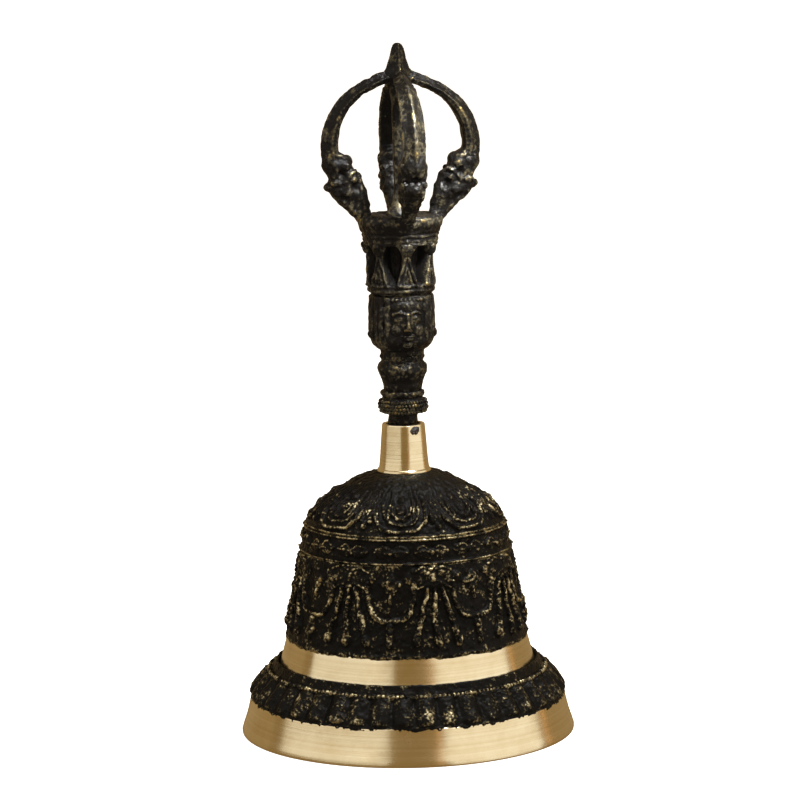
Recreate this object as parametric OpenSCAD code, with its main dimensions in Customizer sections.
// Tibetan hand bell: a cast brass bell with a half-vajra handle and a swivelling clapper.
// Millimetres. +Z up, the mouth of the bell in the plane z = 0, the face of the handle towards -Y.

/* [Bell shell] */
// Outer diameter of the mouth
rim_d = 80; // [70:1:96]
// Height of the bright turned lip
lip_h = 8.8; // [7:0.1:11]
// Outer diameter at the top of the lip
lip_top_d = 75.4; // [66:0.1:80]
// Height of the gadrooned ring, from the lip to its crest
ring_h = 6.4; // [5:0.1:8]
// Diameter of the ring's crest
ring_crest_d = 69.6; // [64:0.1:76]
// Height of the ring's upstanding edge above its crest
upstand_h = 2.4; // [1.5:0.1:4]
// Outer diameter of the upstanding edge
upstand_d = 64.2; // [62:0.1:68]
// Thickness of the upstanding edge
upstand_wall = 0.7; // [0.5:0.05:1.2]
// Depth of the groove behind the upstanding edge
groove_deep = 1.4; // [0.8:0.1:2]
// Height of the bright turned waist, from the groove to the skirt
waist_h = 6.6; // [5:0.1:8]
// Outer diameter at the foot of the waist, in the groove
waist_foot_d = 61.6; // [58:0.1:64]
// Outer diameter at the top of the waist
waist_d = 57.6; // [52:0.1:60]
// How far the skirt stands out from the waist
skirt_step = 0.6; // [0.3:0.1:1.2]
// Height of the decorated skirt
skirt_h = 22.2; // [18:0.1:27]
// Outer diameter at the top of the skirt
skirt_top_d = 51.2; // [44:0.1:56]
// Height of the band above the skirt
band_h = 5.4; // [4:0.1:7]
// Outer diameter at the shoulder, above the band
shoulder_d = 48.4; // [42:0.1:54]
// Height of the dome above the shoulder
dome_h = 11.6; // [9.6:0.1:14]
// Diameter of the flat crown on the dome
crown_flat_d = 14; // [13:0.1:20]
// Thickness of the sounding edge at the lip
lip_wall = 3.8; // [3:0.1:5]
// Thickness of the bell's wall above the ring
bell_wall = 2.6; // [2:0.1:3.4]
// Radius of the raised lines round the bell
line_r = 0.45; // [0.3:0.05:0.8]

/* [Neck socket] */
// Height of the turned socket above the crown
socket_h = 12.2; // [10:0.1:15]
// Outer diameter at the foot of the socket
socket_base_d = 11.9; // [11:0.1:14.3]
// Outer diameter at the top of the socket
socket_top_d = 10.2; // [9.8:0.1:12.2]
// Bore that takes the handle's spigot
socket_bore_d = 8.3; // [7:0.1:8.8]
// Width of the bead round the foot of the socket
socket_bead = 0.45; // [0.3:0.05:0.8]
// Diameter of the socket's stem in the crown
stem_d = 9.4; // [8.4:0.1:11]
// Diameter of the cross pin
pin_d = 1.8; // [1.5:0.1:2.2]
// Distance of the cross pin below the socket's top
pin_drop = 1.45; // [1.3:0.05:3]
// Turn of the cross pin from the front, towards +X
pin_turn = 20; // [0:1:90]

/* [Handle] */
// Gap between the socket and the foot's underside
foot_gap = 2.7; // [1.5:0.1:4]
// Height of the beaded foot
foot_h = 5; // [4:0.1:6]
// Diameter of the beaded foot
foot_d = 12.4; // [11:0.1:15]
// Diameter of the spigot where it shows between the foot and the socket
throat_d = 7.2; // [6:0.1:8]
// Height of the baluster knot
knot_h = 7.6; // [6:0.1:9.2]
// Diameter of the baluster knot
knot_d = 12; // [10.5:0.1:14.5]
// Diameter of the waist between the foot and the knot
knot_waist_d = 9.2; // [8:0.1:10]
// Height of the collar under the head
collar_h = 3.4; // [2.5:0.1:4.5]
// Diameter of the collar
collar_d = 10.6; // [9:0.1:12]
// Height of the head, from the collar to the crown
head_h = 13; // [11:0.1:15.6]
// Width of the head
head_d = 15.4; // [14:0.1:18.5]
// Diameter of the rounded mask of the face
face_d = 10.4; // [9:0.1:12]
// How far the face stands out from the head
face_out = 0.6; // [0.3:0.1:1]
// Diameter of the bosses over the ears
boss_d = 3.2; // [2.4:0.1:4]
// Height of the leaf crown
crown_h = 12; // [10:0.1:14.4]
// Outer diameter at the foot of the leaf crown
crown_d = 15.6; // [14.8:0.1:18.7]
// Outer diameter of the leaves at their tips
crown_top_d = 18; // [16:0.1:20]
// Number of crown leaves
leaves = 7; // [3:1:8]
// Thickness of a crown leaf
leaf_t = 1.3; // [0.9:0.1:1.8]
// Gap between the leaves and the topknot behind them
leaf_gap = 1.2; // [0.6:0.1:2]
// Height of the plain band that the leaves stand on
leaf_band_h = 2.2; // [1.6:0.1:3]
// Height of the lotus seat under the prongs
seat_h = 4.4; // [3.5:0.1:5.5]
// Diameter of the lotus seat's top
seat_d = 20.4; // [19.6:0.1:24]
// Diameter of the core rod that the castings are threaded on
core_d = 4; // [3:0.1:4.8]
// How far the core rod reaches into the central prong
core_in = 3.4; // [2.5:0.1:5]

/* [Prongs] */
// Outer diameter of the cage of prongs
cage_d = 37.2; // [31:0.1:45]
// Height of the cage's widest place above the seat
cage_rise = 16.7; // [14:0.1:20]
// Radial thickness of a prong's bow
prong_t = 3.5; // [2.8:0.1:4.2]
// Width of a prong's bow
prong_w = 5.6; // [4.4:0.1:6.4]
// Width of the head that each bow springs from
beast_w = 6.6; // [5.4:0.1:7.2]
// Width of the square collar where the bows meet
collar_w = 5.4; // [4.8:0.1:6.4]
// Width of the central prong below the collar
spike_w = 3.6; // [3:0.1:4.4]
// Diameter of the central prong's foot
spike_foot_d = 7.6; // [6.6:0.1:9]
// Height of the tip above the bows
tip_h = 7.6; // [6:0.1:9.2]
// Diameter of the tip at its foot
tip_d = 5.2; // [4.4:0.1:5.8]

/* [Clapper] */
// Diameter of the swivel's shank
swivel_d = 3; // [2.4:0.1:3.6]
// Diameter of the swivel's head
swivel_head_d = 6; // [5:0.1:6.8]
// Thickness of the swivel's head
swivel_head_t = 1.6; // [1.2:0.1:2.2]
// Thickness of the wire of both eyes
eye_wire = 1.8; // [1.4:0.1:2.1]
// Diameter of both eyes along the middle of the wire
eye_d = 5.2; // [4.8:0.1:6.2]
// Distance from the crown's inside to the swing axis
hang = 9.5; // [8:0.1:12]
// Distance from the swing axis to the ball's centre
clapper_l = 36.4; // [32:0.1:37.4]
// Diameter of the clapper's rod
rod_d = 2.8; // [2.2:0.1:3.4]
// Diameter of the clapper's ball
ball_d = 13; // [10:0.1:15.6]
// Diameter of the rod's peened end
peen_d = 4.4; // [3.8:0.1:5.4]
// Height of the rod's peened end
peen_h = 1.2; // [0.8:0.1:1.6]

/* [Fits] */
// Radial clearance of a shank that turns
turn_clear = 0.06; // [0.03:0.01:0.1]
// Radial clearance of a piece that is driven or brazed in
seat_clear = 0.03; // [0.01:0.01:0.05]
// Clearance between the two eyes
eye_clear = 0.15; // [0.1:0.01:0.3]

/* [Hidden] */
$fn = 96;
patina = "#2d2a25";
bright_brass = "#d1b170";
old_brass = "#8d7748";
iron = "#5b5a58";
curve_n = 8;      // straight steps in a curve of an outline
over = 1;         // how far a cutter runs past the piece that it cuts
edge = 0.3;       // small rounding of turned edges

// Heights up the bell
lip_z = lip_h;
crest_z = lip_z + ring_h;
upstand_z = crest_z + upstand_h;
groove_z = upstand_z - groove_deep;
waist_z = groove_z + waist_h;
skirt_z = waist_z + skirt_h;
shoulder_z = skirt_z + band_h;
crown_z = shoulder_z + dome_h;
inside_z = crown_z - bell_wall;

// Heights up the handle
socket_z = crown_z + socket_h;
pin_z = socket_z - pin_drop;
foot_z = socket_z + foot_gap;
knot_z = foot_z + foot_h;
collar_z = knot_z + knot_h;
head_z = collar_z + collar_h;
leaf_z = head_z + head_h;
seat_z = leaf_z + crown_h;
prong_z = seat_z + seat_h;
cage_z = prong_z + cage_rise;
cage_r = cage_d / 2;
bow_inner_r = cage_r - prong_t;
meet_z = cage_z + sqrt(pow(cage_r, 2) - pow(collar_w / 2, 2));
tip_z = meet_z + tip_h;

// Inside of the socket
floor_z = crown_z + 0.3;
head_room = 0.4;
spigot_z = floor_z + turn_clear + swivel_head_t + head_room;
spigot_r = socket_bore_d / 2 - seat_clear;
bore_r = core_d / 2 + seat_clear;
core_top_z = prong_z + core_in;

// Clapper
swing_z = inside_z - hang;
eye_r = eye_d / 2;
wire_r = eye_wire / 2;
swivel_centre_z = swing_z + eye_r;
clapper_eye_z = swing_z + eye_wire + eye_clear - eye_r;
ball_z = swing_z - clapper_l;
peen_z = ball_z - ball_d / 2;

// A point on the cubic curve of four points, at the share t of the way
function bezier(a, b, c, d, t) =
    pow(1 - t, 3) * a + 3 * t * pow(1 - t, 2) * b + 3 * t * t * (1 - t) * c + t * t * t * d;
// The points of such a curve, with its first but not its last
function curve(a, b, c, d) = [for (i = [0 : curve_n - 1]) bezier(a, b, c, d, i / curve_n)];
// The points of an arc about a centre, from one angle to another
function arc(centre, r, from, to, n = curve_n) =
    [for (i = [0 : n]) centre + r * [cos(from + (to - from) * i / n), sin(from + (to - from) * i / n)]];

module turned(outline) rotate_extrude() polygon(outline);

module line_round(r, z) rotate_extrude() translate([r, z]) circle(r = line_r, $fn = 24);

// The bell is one casting: a lip and a waist turned bright, and a ring, a skirt and a dome left as cast.
function shell_outside() = concat(
    [[rim_d / 2 - edge, 0], [rim_d / 2, edge]],
    curve([rim_d / 2, edge + 0.1], [rim_d / 2 - 0.3, lip_z * 0.4],
          [lip_top_d / 2 + 0.6, lip_z * 0.75], [lip_top_d / 2, lip_z]),
    [[lip_top_d / 2, lip_z]],
    curve([lip_top_d / 2 + 0.3, lip_z + 0.1], [lip_top_d / 2 + 0.1, lip_z + ring_h * 0.45],
          [ring_crest_d / 2 + 1.2, crest_z - 1.6], [ring_crest_d / 2, crest_z]),
    curve([ring_crest_d / 2, crest_z], [ring_crest_d / 2 - 1, crest_z + 0.5],
          [upstand_d / 2 + 0.7, upstand_z - 0.9], [upstand_d / 2, upstand_z]),
    [[upstand_d / 2, upstand_z], [upstand_d / 2 - upstand_wall, upstand_z],
     [waist_foot_d / 2 + 0.2, groove_z]],
    curve([waist_foot_d / 2, groove_z], [waist_foot_d / 2 - 1.2, groove_z + waist_h * 0.35],
          [waist_d / 2 + 0.4, waist_z - waist_h * 0.3], [waist_d / 2, waist_z]),
    curve([waist_d / 2 + skirt_step, waist_z], [waist_d / 2 + skirt_step + 0.3, waist_z + skirt_h * 0.2],
          [skirt_top_d / 2 + 0.9, skirt_z - skirt_h * 0.35], [skirt_top_d / 2, skirt_z]),
    curve([skirt_top_d / 2, skirt_z], [skirt_top_d / 2 - 0.35, skirt_z + band_h * 0.3],
          [shoulder_d / 2 + 0.5, shoulder_z - band_h * 0.3], [shoulder_d / 2, shoulder_z]),
    curve([shoulder_d / 2, shoulder_z], [shoulder_d / 2 - 1.2, shoulder_z + dome_h * 0.42],
          [crown_flat_d / 2 + 9, crown_z - 1.5], [crown_flat_d / 2, crown_z]),
    [[crown_flat_d / 2, crown_z], [stem_d / 2 + seat_clear, crown_z]]);

function shell_inside() = concat(
    [[stem_d / 2 + seat_clear, inside_z]],
    curve([crown_flat_d / 2, inside_z], [crown_flat_d / 2 + 7, inside_z - 1.2],
          [shoulder_d / 2 - bell_wall - 0.6, shoulder_z + dome_h * 0.25],
          [shoulder_d / 2 - bell_wall, shoulder_z - 1]),
    curve([shoulder_d / 2 - bell_wall, shoulder_z - 1], [skirt_top_d / 2 - bell_wall, skirt_z - 4],
          [waist_d / 2 - bell_wall - 1, waist_z + skirt_h * 0.4], [waist_d / 2 - bell_wall, waist_z]),
    curve([waist_d / 2 - bell_wall, waist_z], [waist_d / 2 - bell_wall + 0.9, waist_z - waist_h * 0.7],
          [ring_crest_d / 2 - lip_wall - 1.3, crest_z], [lip_top_d / 2 - lip_wall, lip_z]),
    curve([lip_top_d / 2 - lip_wall, lip_z], [lip_top_d / 2 - lip_wall + 0.9, lip_z * 0.7],
          [rim_d / 2 - lip_wall - 0.7, lip_z * 0.3], [rim_d / 2 - lip_wall, edge]),
    [[rim_d / 2 - lip_wall, edge], [rim_d / 2 - lip_wall + edge, 0]]);

module bell_shell() color(patina) {
    turned(concat(shell_outside(), shell_inside()));
    line_round(ring_crest_d / 2 - 0.15, crest_z);
    line_round(skirt_top_d / 2 - 0.15, skirt_z);
    line_round(shoulder_d / 2 - 0.15, shoulder_z);
}

module cross_bore(r) translate([0, 0, pin_z]) rotate([90, 0, pin_turn])
    cylinder(r = r, h = socket_base_d + 2 * over, center = true);

// Turned socket with a stem through the crown; the swivel's head turns on its floor.
module neck_socket() color(bright_brass) difference() {
    turned([[0, inside_z], [stem_d / 2, inside_z], [stem_d / 2, crown_z],
            [socket_base_d / 2 + socket_bead, crown_z],
            [socket_base_d / 2 + socket_bead, crown_z + socket_bead],
            [socket_base_d / 2, crown_z + 2.4 * socket_bead],
            [socket_top_d / 2, socket_z - edge], [socket_top_d / 2 - edge, socket_z], [0, socket_z]]);
    translate([0, 0, floor_z]) cylinder(d = socket_bore_d, h = socket_h + over);
    translate([0, 0, inside_z - over])
        cylinder(r = swivel_d / 2 + turn_clear, h = floor_z - inside_z + 2 * over);
    cross_bore(pin_d / 2 + seat_clear);
}

// The pin is filed flush with the socket's cone.
module cross_pin() color(iron) intersection() {
    cross_bore(pin_d / 2);
    turned([[0, crown_z], [socket_base_d / 2, crown_z], [socket_top_d / 2, socket_z], [0, socket_z]]);
}

module core_bore(low, high) translate([0, 0, low - over]) cylinder(r = bore_r, h = high - low + 2 * over);

module handle_foot() color(patina) difference() {
    turned(concat(
        [[0, spigot_z], [spigot_r, spigot_z], [spigot_r, socket_z - edge], [throat_d / 2, socket_z + 0.4],
         [throat_d / 2, foot_z - 0.9], [foot_d / 2 - 0.9, foot_z]],
        arc([foot_d / 2 - foot_h * 0.3, foot_z + foot_h * 0.4], foot_h * 0.3, -50, 60),
        [[foot_d / 2 - 1.1, knot_z - 0.5], [knot_waist_d / 2, knot_z], [0, knot_z]]));
    core_bore(spigot_z, knot_z);
    cross_bore(pin_d / 2 + seat_clear);
}

module handle_knot() color(patina) difference() {
    turned(concat(
        [[0, knot_z], [knot_waist_d / 2, knot_z]],
        curve([knot_waist_d / 2, knot_z + 0.6], [knot_waist_d / 2, knot_z + knot_h * 0.4],
              [knot_d / 2, knot_z + knot_h * 0.4], [knot_d / 2, knot_z + knot_h * 0.68]),
        curve([knot_d / 2, knot_z + knot_h * 0.72], [knot_d / 2, knot_z + knot_h * 0.85],
              [collar_d / 2, knot_z + knot_h * 0.85], [collar_d / 2, collar_z]),
        [[collar_d / 2, collar_z], [0, collar_z]]));
    core_bore(knot_z, collar_z);
}

// Collar, head and the topknot that carries the lotus seat.
topknot_r = crown_d / 2 - leaf_t - leaf_gap;
module head_casting() color(patina) difference() {
    union() {
        turned(concat(
            [[0, collar_z], [collar_d / 2, collar_z]],
            curve([collar_d / 2, collar_z + 0.2], [collar_d / 2 - 0.8, collar_z + collar_h * 0.5],
                  [collar_d / 2 - 0.3, head_z - 1], [collar_d / 2 + 0.6, head_z]),
            curve([collar_d / 2 + 0.6, head_z], [head_d / 2 - 0.7, head_z + 0.2],
                  [head_d / 2, head_z + 0.8], [head_d / 2, head_z + 2]),
            [[head_d / 2, head_z + 2], [head_d / 2, leaf_z - 0.6], [head_d / 2 - 0.6, leaf_z],
             [topknot_r, leaf_z], [topknot_r, seat_z], [0, seat_z]]));
        translate([0, (face_d - head_d) / 2 - face_out, head_z + head_h * 0.48]) sphere(d = face_d);
        for (side = [-1, 1])
            translate([side * (head_d - boss_d) / 2, 0, head_z + head_h * 0.24])
                rotate([0, 90, 0]) sphere(d = boss_d + 2 * edge);
    }
    core_bore(collar_z, seat_z);
}

// Leaf outline, tip up, one unit wide and one unit high.
leaf_shape = [[-0.5, 0], [0.5, 0], [0.42, 0.3], [0.5, 0.52], [0.34, 0.8], [0, 1], [-0.34, 0.8],
              [-0.5, 0.52], [-0.42, 0.3]];
leaf_w = 0.62 * PI * crown_d / leaves;

module leaf_crown() color(patina) {
    turned([[topknot_r + seat_clear, leaf_z], [crown_d / 2, leaf_z],
            [crown_d / 2 + 0.2, leaf_z + leaf_band_h - edge], [crown_d / 2, leaf_z + leaf_band_h],
            [topknot_r + seat_clear, leaf_z + leaf_band_h]]);
    for (i = [0 : leaves - 1]) rotate(i * 360 / leaves) intersection() {
        turned([[crown_d / 2 - leaf_t, leaf_z], [crown_d / 2, leaf_z], [crown_top_d / 2, seat_z],
                [crown_top_d / 2 - leaf_t, seat_z]]);
        translate([0, 0, leaf_z + leaf_band_h / 2]) rotate([90, 0, 0])
            linear_extrude(height = crown_top_d)
                polygon([for (p = leaf_shape) [p[0] * leaf_w, p[1] * (crown_h - leaf_band_h / 2)]]);
    }
}

module lotus_seat() color(patina) difference() {
    turned(concat(
        [[0, seat_z], [crown_top_d / 2, seat_z], [crown_top_d / 2 + 0.2, seat_z + seat_h * 0.45]],
        arc([seat_d / 2 - seat_h * 0.2, seat_z + seat_h * 0.72], seat_h * 0.2, -40, 90),
        [[seat_d / 2 - 1.4, prong_z], [0, prong_z]]));
    core_bore(seat_z, prong_z);
}

module core_rod() color(iron) difference() {
    translate([0, 0, spigot_z]) cylinder(d = core_d, h = core_top_z - spigot_z);
    cross_bore(pin_d / 2 + seat_clear);
}

// Side view of the beast's head that a bow springs from. The first number goes from the seat's
// edge, 0, to the cage's outside, 1. The second goes from the seat, 0, to the widest place, 1.
beast_shape = [[-0.55, 0], [-0.03, 0], [0.26, 0.16], [0.6, 0.3], [0.86, 0.42], [0.92, 0.53], [0.87, 0.61],
               [0.97, 0.7], [1.02, 0.82], [1, 0.95], [1, 1.02], [0.6, 1.02], [0.34, 0.99], [0.18, 0.88],
               [0.13, 0.75], [-0.1, 0.66], [-0.18, 0.5], [-0.27, 0.34], [-0.34, 0.16]];

module prong(turn) color(patina) rotate(turn) {
    bow_end = collar_w / 2;
    far = cage_r + over;
    intersection() {
        translate([0, 0, cage_z]) rotate([90, 0, 0]) rotate_extrude(angle = 90)
            polygon([[bow_inner_r, -prong_w / 2 + 0.7], [bow_inner_r + 0.5, -prong_w / 2],
                     [cage_r - 1, -prong_w / 2], [cage_r, -prong_w / 2 + 1.6], [cage_r, prong_w / 2 - 1.6],
                     [cage_r - 1, prong_w / 2], [bow_inner_r + 0.5, prong_w / 2],
                     [bow_inner_r, prong_w / 2 - 0.7]]);
        // The bows meet each other in mitres and the collar square.
        translate([0, 0, cage_z - over]) linear_extrude(height = far + over)
            polygon([[bow_end, -bow_end], [far, -far], [far, far], [bow_end, bow_end]]);
    }
    rotate([90, 0, 0]) linear_extrude(height = beast_w, center = true)
        polygon([for (p = beast_shape)
            [seat_d / 2 + p[0] * (cage_r - seat_d / 2), prong_z + p[1] * cage_rise]]);
}

module prong_front() prong(-90);
module prong_right() prong(0);
module prong_back() prong(90);
module prong_left() prong(180);

// The central prong stands on the seat, is fixed on the core rod and ends in the tip.
collar_low_z = cage_z + sqrt(pow(bow_inner_r, 2) - pow(collar_w / 2, 2)) - 0.6;
module central_prong() color(patina) difference() {
    union() {
        turned([[0, prong_z], [spike_foot_d / 2, prong_z], [spike_foot_d / 2 - edge, core_top_z - 0.4],
                [spike_w / 2, core_top_z + core_in], [0, core_top_z + core_in]]);
        translate([-spike_w / 2, -spike_w / 2, core_top_z + over])
            cube([spike_w, spike_w, collar_low_z - core_top_z]);
        translate([-collar_w / 2, -collar_w / 2, collar_low_z])
            cube([collar_w, collar_w, meet_z - collar_low_z]);
        turned(concat(
            [[0, meet_z - 0.5], [tip_d / 2, meet_z - 0.5], [tip_d / 2, meet_z]],
            curve([tip_d / 2, meet_z], [tip_d / 2 - 0.7, meet_z + tip_h * 0.3],
                  [tip_d / 2 - 1, meet_z + tip_h * 0.6], [tip_d / 2 - 1.3, tip_z - 1.1]),
            arc([0, tip_z - 1.3], tip_d / 2 - 1.3, 5, 90)));
    }
    translate([0, 0, prong_z - over]) cylinder(r = bore_r, h = core_top_z - prong_z + over);
}

// Headed pin that turns in the socket's floor, with an eye in the XZ plane.
module swivel_eye() color(iron) {
    translate([0, 0, floor_z + turn_clear]) cylinder(d = swivel_head_d, h = swivel_head_t);
    translate([0, 0, swivel_centre_z + eye_r])
        cylinder(d = swivel_d, h = floor_z + turn_clear + swivel_head_t / 2 - swivel_centre_z - eye_r);
    translate([0, 0, swivel_centre_z]) rotate([90, 0, 0]) rotate_extrude()
        translate([eye_r, 0]) circle(r = wire_r, $fn = 32);
}

// Rod with an eye in the YZ plane that hangs in the swivel's eye.
module clapper_rod() color(iron) {
    translate([0, 0, clapper_eye_z]) rotate([0, 90, 0]) rotate_extrude()
        translate([eye_r, 0]) circle(r = wire_r, $fn = 32);
    translate([0, 0, peen_z]) cylinder(d = rod_d, h = clapper_eye_z - eye_r - peen_z);
    translate([0, 0, peen_z - peen_h]) cylinder(d1 = peen_d - 1, d2 = peen_d, h = peen_h);
}

module clapper_ball() color(old_brass) difference() {
    translate([0, 0, ball_z]) sphere(d = ball_d);
    translate([0, 0, peen_z - over]) cylinder(r = rod_d / 2 + seat_clear, h = ball_d + 2 * over);
    translate([0, 0, peen_z - over]) cylinder(d = ball_d, h = over + 0.01);
}

bell_shell();
neck_socket();
cross_pin();
handle_foot();
handle_knot();
head_casting();
leaf_crown();
lotus_seat();
core_rod();
prong_front();
prong_right();
prong_back();
prong_left();
central_prong();
swivel_eye();
clapper_rod();
clapper_ball();
